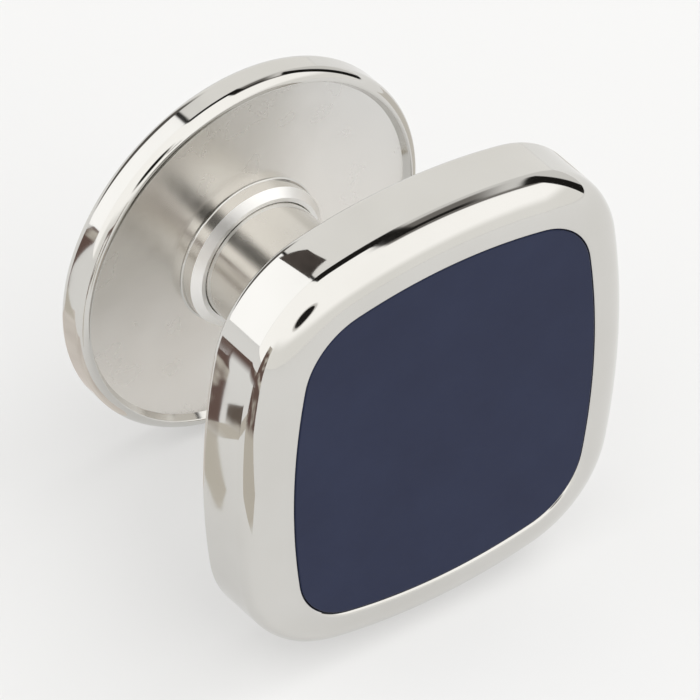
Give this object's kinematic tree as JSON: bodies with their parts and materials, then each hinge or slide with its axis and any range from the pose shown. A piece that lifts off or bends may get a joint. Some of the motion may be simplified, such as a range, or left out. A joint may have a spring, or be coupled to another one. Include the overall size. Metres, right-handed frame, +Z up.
{
  "type": "dress stud",
  "caption": "Dress stud: cushion-shaped polished metal head round a flat navy inlay, a plain post and a round back disc with a raised rim and a collar.",
  "frame": {"origin": "on the surface it rests on, under the middle of its box", "axes": "+Z up, the face looks towards -Y and a little upwards, +X to the right as seen facing the inlay's back, the post runs towards +Y"},
  "size_m": [0.0102, 0.0092, 0.0111],
  "materials": {
    "metal": "polished silver-coloured metal, satin inside the back disc",
    "inlay": "flat polished navy stone or enamel"
  },
  "bodies": {
    "root": {"head_frame": "metal", "inlay": "inlay", "post": "metal", "back_disc": "metal"}
  },
  "joints": []
}
